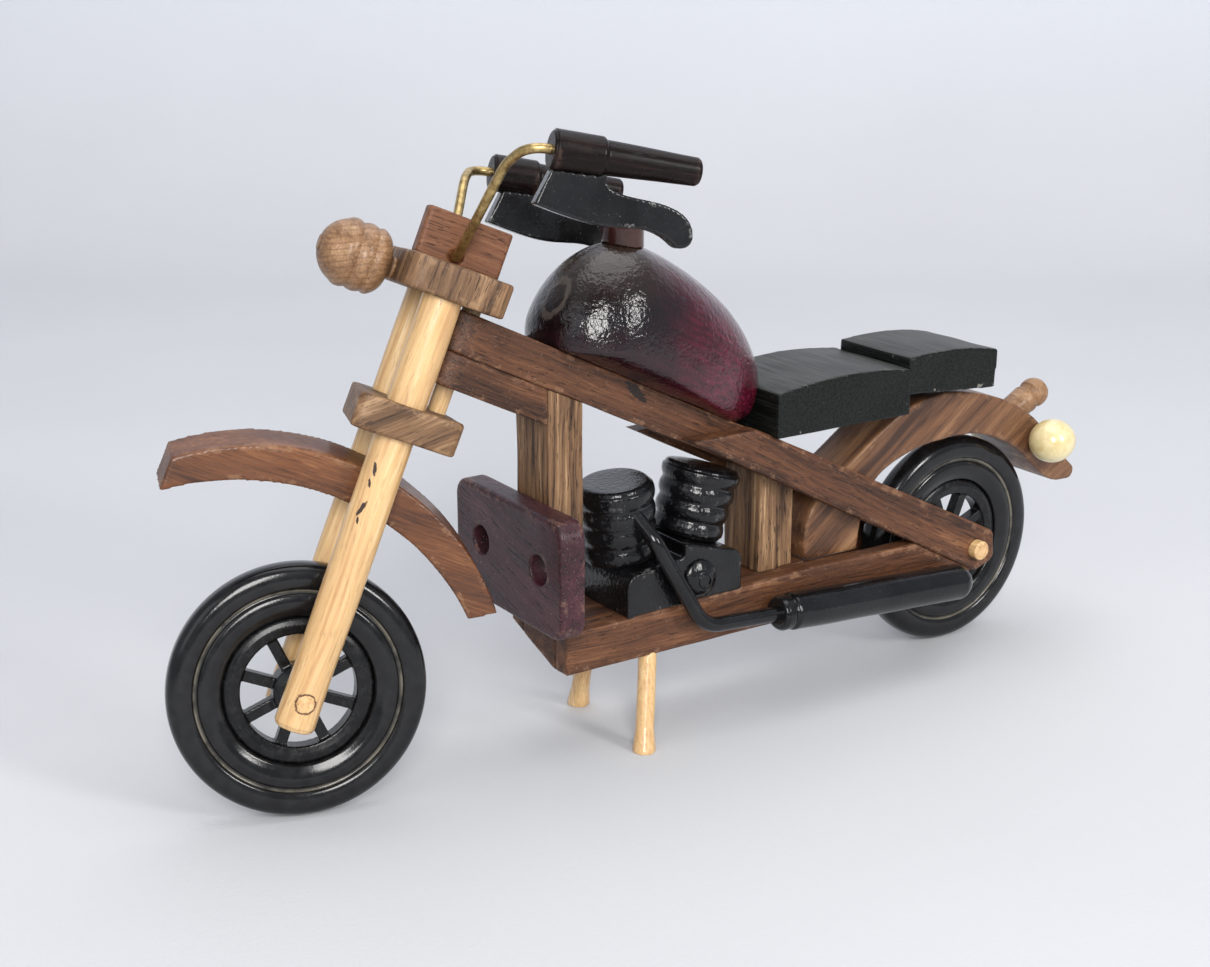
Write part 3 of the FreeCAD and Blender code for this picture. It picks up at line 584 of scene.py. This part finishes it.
spin("silencer", (-1, 0, 0), lacquer("silencer_black", BLACK, SOFT_BLACK, 55, peel=0.08), corner=0.8)
spin("front_cylinder", UPRIGHT, engine_black, uneven=0.12, corner=1.2, smooth=3)
spin("rear_cylinder", UPRIGHT, engine_black, uneven=0.12, corner=1.2, smooth=3, seed=3)
for side, hint in (("left", (0, 1, 0)), ("right", (0, -1, 0))):
    spin(side + "_crank_button", hint, engine_black, step=0.15, corner=0.3)

# ---- tank, cap and seats ------------------------------------------------------------------------
def tank_material():
    """Gloss over stain: black in front and on top, with a painted highlight that lightens the top, maroon towards
    the lower rear.
    """
    g = Graph("tank_lacquer")
    low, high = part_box("fuel_tank")
    at = g.place()
    split = g.node("SeparateXYZ", Vector=at)
    height = g.node("SeparateXYZ", output=2, Vector=at)
    rearward = g.ramp(split, high.x * 1000 - 20, low.x * 1000 + 18)
    lower = g.ramp(height, high.z * 1000 - 4, low.z * 1000 + 14)
    cloud = g.noise(at, 0.08, 4.0, 0.6)
    red = g.math("MULTIPLY_ADD", cloud, 0.6, -0.35)
    red = g.math("ADD", red, g.math("MULTIPLY", rearward, 0.75))
    red = g.math("ADD", red, g.math("MULTIPLY", lower, 0.2), clamp=True)
    fibres = g.noise(g.stretch(g.grain(SLOPE, (7, 3, 9)), (0.05, 1.1, 1.1)), 1.0, 5.0, 0.6)
    maroon = g.mix(g.ramp(fibres, 0.3, 0.75), (0.035, 0.002, 0.007), (0.12, 0.009, 0.026))
    # Painted highlight: the top of the tank is painted lighter brown.
    top = g.math("MULTIPLY", g.ramp(height, high.z * 1000 - 16, high.z * 1000 - 2), 0.5)
    black_with_painted_top = g.mix(top, (0.004, 0.002, 0.003), (0.045, 0.026, 0.015))
    colour = g.mix(red, black_with_painted_top, maroon)
    knot = [low[i] + (high[i] - low[i]) * share for i, share in enumerate((0.937, 0.572, 0.779))]
    away = g.node(
        "VectorMath", output=1, settings={"operation": "LENGTH"},
        i0=g.stretch(g.place([-1000 * c for c in knot]), (0.5, 0.9, 0.6)),
    )
    away = g.math("MULTIPLY_ADD", g.noise(at, 0.45, 3.0, 0.6), 1.6, away)
    ring = g.math("MULTIPLY", g.ramp(away, 2.9, 3.5), g.ramp(away, 4.7, 4.0))
    colour = g.mix(g.math("MULTIPLY", ring, 0.42), colour, (0.11, 0.09, 0.075))
    peel = g.noise(at, 0.75, 2.0, 0.5, 0.4)
    waves = g.noise(at, 0.22, 2.0, 0.5)
    relief = g.math("MULTIPLY_ADD", waves, 1.2, peel)
    relief = g.math("MULTIPLY_ADD", g.noise(at, 1.7, 2.0, 0.5), 0.35, relief)
    roughness = g.math("MULTIPLY_ADD", g.noise(at, 0.15, 4.0, 0.6), 0.2, 0.12)
    return g.surface(
        Base_Color=colour, Roughness=roughness, Normal=g.bump(relief, 0.2), Specular_IOR_Level=0.2,
        Coat_Weight=0.65, Coat_Roughness=0.035,
    )


tank_lacquer = tank_material()
board("fuel_tank", tank_lacquer, rounds=14, seed=20, uneven=0.15, bump_size=14, voxel=0.6)
cap_lacquer = lacquer(
    "cap_lacquer", (0.03, 0.008, 0.008), (0.07, 0.03, 0.02), 57, worn=(0.3, 0.2, 0.15), worn_share=0.4,
)
board("filler_cap", cap_lacquer, voxel=0.3, rounds=5)


def seat_material(name, seed):
    """Black stain: satin top with fine cross grain and a painted sheen (upward faces painted lighter), glossier
    sides, pale wear along the edges.
    """
    g = Graph(name)
    at = g.grain(ACROSS, seeded(seed))
    fibres = g.noise(g.stretch(at, (0.05, 1.5, 1.5)), 1.0, 5.0, 0.65)
    facing = g.node("SeparateXYZ", output=2, Vector=g.node("NewGeometry", output=1))
    top = g.ramp(facing, 0.55, 0.85)
    base = g.mix(g.ramp(fibres, 0.35, 0.7), (0.003, 0.004, 0.0036), (0.012, 0.014, 0.012))
    # Painted sheen: the upward faces get a lighter colour.
    painted_top_sheen = g.mix(g.ramp(fibres, 0.35, 0.7), (0.008, 0.009, 0.008), (0.060, 0.063, 0.052))
    colour = g.mix(top, base, painted_top_sheen)
    colour = g.mix(g.math("MULTIPLY", g.worn_edge(at, 0.64), 0.5), colour, (0.35, 0.33, 0.29))
    roughness = g.math("MULTIPLY_ADD", top, 0.18, 0.24)
    return g.surface(
        Base_Color=colour, Roughness=roughness, Normal=g.bump(fibres, 0.12), Specular_IOR_Level=0.2,
    )


board("front_seat", seat_material("front_seat_stain", 61), rounds=7, seed=21, uneven=0.1)
board("rear_seat", seat_material("rear_seat_stain", 62), rounds=7, seed=22, uneven=0.1)

# ---- dowels, lamps and beads --------------------------------------------------------------------
HONEY = ((0.50, 0.28, 0.12), (0.69, 0.45, 0.21), (0.83, 0.61, 0.35))


def honey(name, direction, seed, **options):
    settings = dict(band=2.0, band_share=0.55, pore=0.25, rough=0.32, gloss=0.45, relief=0.04)
    settings.update(options)
    return wood(name, direction, *HONEY, seed=seed, **settings)


LEG_FACE = 15.0                # mm from the wheel's middle to the leg's outer face
CRACK_PLACE = (4.0, 2.5)       # mm outwards and forwards from the leg's middle
# mm up the leg, length, width, slant
CRACKS = [(9, 3.0, 0.55, 0.35), (5.5, 2.6, 0.4, 0.5), (0.5, 3.4, 0.6, -0.3), (-3.5, 1.6, 0.4, 0.4)]
CRACK_BROWN, RING_BROWN = (0.03, 0.012, 0.006), (0.10, 0.04, 0.015)


def leg_marks(side):
    """Cracks half-way up the leg's outer face, and a dark ring round the axle's end."""
    centre = Vector(axis_of(side + "_fork_leg", FORK)[0])
    outward = AXLE * (1 if side == "left" else -1)
    hub = Vector(JOINTS["front_wheel_spin"]["pos_m"]) + outward * LEG_FACE * MM
    skin = centre + outward * CRACK_PLACE[0] * MM + FORK_FRONT * CRACK_PLACE[1] * MM
    marks = []
    for up, length, width, slant in CRACKS:
        place = skin + FORK * up * MM
        run = FORK + FORK_FRONT * slant

        def crack(g, place=place, run=run, length=length, width=width):
            return g.spot(place, run, length, width, 0.5)

        marks.append((crack, CRACK_BROWN))

    def ring(g):
        here = g.place(tuple(-1000 * c for c in hub))
        away = g.node("VectorMath", output=1, settings={"operation": "LENGTH"}, i0=here)
        wobble = g.math("MULTIPLY_ADD", g.noise(g.place(), 0.8, 4.0, 0.7), 1.8, -0.9)
        away = g.math("ADD", away, wobble)
        return g.math("MULTIPLY", g.ramp(away, 2.05, 2.3), g.ramp(away, 2.85, 2.5))

    marks.append((ring, RING_BROWN))
    return marks


for number, side in enumerate(("left", "right")):
    leg = turned(side + "_fork_leg", FORK, corner=1.0, uneven=0.08, bump_size=14, seed=30 + number)
    material = honey(side + "_leg_honey", FORK, 71 + number, dust=0.2, marks=leg_marks(side))
    stand_for(leg, side + "_fork_leg", material)
    peg_honey = honey(side + "_peg_honey", UPRIGHT, 73 + number)
    board(side + "_stand_peg", peg_honey, voxel=0.35, rounds=6, seed=33 + number)
spin("steering_stem", FORK, honey("stem_honey", FORK, 75), corner=0.3)
spin("front_axle", AXLE, honey("front_axle_honey", AXLE, 76), corner=0.3)
spin("rear_axle", ACROSS, honey("rear_axle_honey", ACROSS, 77, pore=0.5), corner=0.5)
LAMP = ((0.15, 0.072, 0.032), (0.31, 0.172, 0.086), (0.46, 0.285, 0.16))
headlamp_wood = wood(
    "headlamp_wood", AXLE, *LAMP, seed=81, band=3.5, rough=0.42, gloss=0.2, pore=0.4, figure=0.25,
)
spin("headlamp", FORK_FRONT, headlamp_wood, step=0.2, corner=0.4, smooth=2)
tail_lamp_wood = wood("tail_lamp_wood", ACROSS, *LAMP, seed=82, band=3.0, rough=0.45, gloss=0.1, pore=0.5)
spin("tail_lamp", (-1, 0, 0.46), tail_lamp_wood, step=0.2, corner=0.4, smooth=2)


def bead_material():
    g = Graph("bead_cream")
    at = g.place()
    cloud = g.noise(at, 0.25, 4.0, 0.6)
    colour = g.mix(g.ramp(cloud, 0.35, 0.65), (0.62, 0.48, 0.22), (0.74, 0.63, 0.36))
    specks = g.ramp(g.noise(at, 1.6, 2.0, 0.5), 0.70, 0.76)
    colour = g.mix(g.math("MULTIPLY", specks, 0.4), colour, (0.35, 0.26, 0.14))
    return g.surface(
        Base_Color=colour, Roughness=0.22, Normal=g.bump(g.noise(at, 0.8, 3.0), 0.05), Coat_Weight=0.5,
        Coat_Roughness=0.08, Subsurface_Weight=0.1, Subsurface_Radius=(0.004, 0.002, 0.001),
    )


bead_cream = bead_material()
for side in ("left", "right"):
    board(side + "_tail_ball", bead_cream, voxel=0.4, rounds=10, uneven=0.08, seed=41)


# ---- bars and grips -----------------------------------------------------------------------------
def brass_material():
    g = Graph("tarnished_brass")
    at = g.place()
    tarnish = g.noise(at, 0.5, 5.0, 0.65)
    spots = g.ramp(g.noise(at, 1.4, 3.0, 0.6), 0.55, 0.7)
    colour = g.mix(g.ramp(tarnish, 0.3, 0.7), (0.30, 0.20, 0.08), (0.62, 0.46, 0.20))
    colour = g.mix(g.math("MULTIPLY", spots, 0.6), colour, (0.10, 0.065, 0.035))
    roughness = g.math("MULTIPLY_ADD", tarnish, 0.3, 0.2)
    return g.surface(Base_Color=colour, Metallic=0.95, Roughness=roughness, Normal=g.bump(tarnish, 0.04))


brass = brass_material()
GRIP = ((0.003, 0.0015, 0.0015), (0.008, 0.004, 0.0035), (0.024, 0.011, 0.009))
for number, side in enumerate(("left", "right")):
    board(side + "_handlebar", brass, voxel=0.22, rounds=8, uneven=0.02)
    axis = axis_of(side + "_grip", -FORK_FRONT)[1]
    material = wood(side + "_grip_wood", axis, *GRIP,
                    seed=91 + number, band=2.0, rough=0.3, gloss=0.08, pore=0.6,
                    worn=(0.14, 0.08, 0.06), worn_share=0.25, relief=0.10, shine=0.14)
    spin(side + "_grip", axis, material, corner=0.7)


# ---- wheels -------------------------------------------------------------------------------------
def wheel_frame(joint):
    return np.array(joint["pos_m"]), np.array(joint["axis"]) / np.linalg.norm(joint["axis"])


def ring_mesh(centre, axis, profile, name, segments=180):
    """Spins a closed (radius, along) outline about an axis."""
    turns = np.arange(segments) * 2 * math.pi / segments
    count = len(profile)
    vertices = []
    for radius, along in profile:
        vertices.extend(ring_points(centre, axis, along * MM, radius * MM, turns))
    faces = []
    for row in range(count):
        this, following = row * segments, (row + 1) % count * segments
        for k in range(segments):
            after = (k + 1) % segments
            faces.append((this + k, this + after, following + after, following + k))
    mesh = mesh_of(vertices, faces, name)
    work = bmesh.new()
    work.from_mesh(mesh)
    bmesh.ops.recalc_face_normals(work, faces=work.faces)
    work.to_mesh(mesh)
    work.free()
    return mesh


def smooth_outline(points, rounds=2):
    """Corner cutting: rounds a closed outline."""
    points = np.array(points, float)
    for _ in range(rounds):
        after = np.roll(points, -1, axis=0)
        points = np.stack([points * 0.75 + after * 0.25, points * 0.25 + after * 0.75], 1).reshape(-1, 2)
    return points


# radius and distance from the middle plane, in mm, from the tyre's seat out to its tread
TYRE_FLANK = [
    (18.6, 1.6), (18.9, 2.9), (19.9, 3.3), (21.0, 3.8), (22.4, 4.05), (23.7, 3.9),
    (24.4, 3.6), (24.7, 3.1), (25.5, 3.1), (25.9, 3.8), (26.8, 4.15), (28.6, 4.25),
    (30.2, 3.95), (31.3, 3.1), (31.85, 2.0), (32.0, 0.8),
]


def both_flanks(flank):
    return flank + [(radius, -along) for radius, along in reversed(flank)]


def rubber_material():
    g = Graph("tyre_rubber")
    at = g.place()
    wear_and_recess_shade = g.wear_and_recess_shade()
    dust = g.noise(at, 0.35, 5.0, 0.65)
    groove = g.ramp(g.math("MULTIPLY", wear_and_recess_shade, -1.0), 0.05, 0.25)
    colour = g.mix(g.ramp(dust, 0.35, 0.75), (0.004, 0.004, 0.0045), (0.011, 0.011, 0.0115))
    share = g.math("MULTIPLY", groove, g.ramp(g.noise(at, 0.12, 3.0, 0.6), 0.35, 0.6, 0.15, 0.9))
    colour = g.mix(share, colour, (0.28, 0.25, 0.19))
    roughness = g.math("MULTIPLY_ADD", dust, 0.2, 0.05)
    return g.surface(
        Base_Color=colour, Roughness=roughness, Normal=g.bump(g.noise(at, 2.2, 2.0), 0.015),
        Specular_IOR_Level=0.4,
    )


def rim_material():
    g = Graph("rim_plastic")
    at = g.place()
    dust = g.noise(at, 0.5, 5.0, 0.65)
    colour = g.mix(g.ramp(dust, 0.4, 0.8), (0.004, 0.004, 0.0045), (0.016, 0.016, 0.0165))
    return g.surface(
        Base_Color=colour, Roughness=g.math("MULTIPLY_ADD", dust, 0.3, 0.1),
        Normal=g.bump(g.noise(at, 1.5, 3.0), 0.02), Specular_IOR_Level=0.3,
    )


rubber, rim_black = rubber_material(), rim_material()


def tyre(node, joint):
    centre, axis = wheel_frame(joint)
    mesh = ring_mesh(centre, axis, smooth_outline(both_flanks(TYRE_FLANK)), "piece_" + node, 220)
    mesh.shade_smooth()
    mark_wear_and_shade(mesh, 6)
    return stand_for(new_object("piece_" + node, mesh), node, rubber)


tyre("front_tyre", JOINTS["front_wheel_spin"])
tyre("rear_tyre", JOINTS["rear_wheel_spin"])
for node in ("front_rim", "rear_rim"):
    board(node, rim_black, voxel=0.3, rounds=4, uneven=0)


# ---- floor, light and camera --------------------------------------------------------------------
def studio():
    floor = bpy.data.meshes.new("floor")
    profile = [(-3.0, 0.0)]
    for angle in np.linspace(0, math.pi / 2, 16):
        profile.append((0.62 + 0.25 * math.sin(angle), 0.25 - 0.25 * math.cos(angle)))
    profile.append((0.87, 3.0))
    away = Vector((-0.555, -0.832, 0))
    side = Vector((away.y, -away.x, 0))
    vertices, faces = [], []
    for reach, height in profile:
        for across in (-4.0, 4.0):
            vertices.append(away * reach + side * across + Vector((0, 0, height)))
    for k in range(len(profile) - 1):
        faces.append((2 * k, 2 * k + 1, 2 * k + 3, 2 * k + 2))
    floor.from_pydata(vertices, [], faces)
    floor.shade_smooth()
    g = Graph("paper")
    at = g.place()
    cloud = g.noise(at, 0.006, 3.0, 0.5)
    colour = g.mix(cloud, (0.52, 0.525, 0.54), (0.57, 0.575, 0.59))
    # Painted light: the backdrop is painted paler and bluer towards the top, making up for the light it gets less
    # of.
    height = g.node("SeparateXYZ", output=2, Vector=at)
    colour = g.mix(g.ramp(height, 0, 300), colour, (0.68, 0.70, 0.76))
    weave = g.noise(at, 0.9, 3.0, 0.6)
    floor.materials.append(g.surface(Base_Color=colour, Roughness=0.85, Normal=g.bump(weave, 0.08)))
    new_object("studio_floor", floor)


def lamp(name, place, target, size, power, colour=(1, 1, 1)):
    light = bpy.data.lights.new(name, "AREA")
    light.shape = "RECTANGLE"
    light.size, light.size_y = size
    light.energy = power
    light.color = colour
    piece = new_object(name, light)
    piece.location = place
    piece.rotation_euler = (Vector(target) - Vector(place)).to_track_quat("-Z", "Y").to_euler()


studio()
world = bpy.data.worlds.new("studio")
world.use_nodes = True
world.node_tree.nodes["Background"].inputs["Color"].default_value = (0.86, 0.91, 1.0, 1)
world.node_tree.nodes["Background"].inputs["Strength"].default_value = 0.5
bpy.context.scene.world = world
lamp("window_left", (0.66, 1.08, 0.72), (0, 0, 0.08), (0.42, 0.62), 15, (1.0, 0.99, 0.97))
lamp("window_right", (-0.41, 1.20, 0.68), (0, 0, 0.08), (0.26, 0.45), 8, (1.0, 0.99, 0.97))
lamp("fill", (1.25, 0.30, 0.75), (0, 0, 0.08), (0.8, 0.8), 2)
lamp("overhead", (-0.2, -0.1, 1.5), (0, 0, 0), (1.4, 1.4), 12)

YAW, PITCH = math.radians(33.667), math.radians(17.211)
camera = bpy.data.cameras.new("camera")
camera.lens = 55.04
camera.sensor_width = 36.0
camera.clip_start, camera.clip_end = 0.01, 20
viewer = new_object("camera", camera)
viewer.location = (0.2851, 0.38493, 0.2154)
gaze = Vector((-math.cos(PITCH) * math.sin(YAW), -math.cos(PITCH) * math.cos(YAW), -math.sin(PITCH)))
viewer.rotation_euler = gaze.to_track_quat("-Z", "Y").to_euler()
bpy.context.scene.camera = viewer
bpy.context.scene.view_settings.view_transform = "Standard"
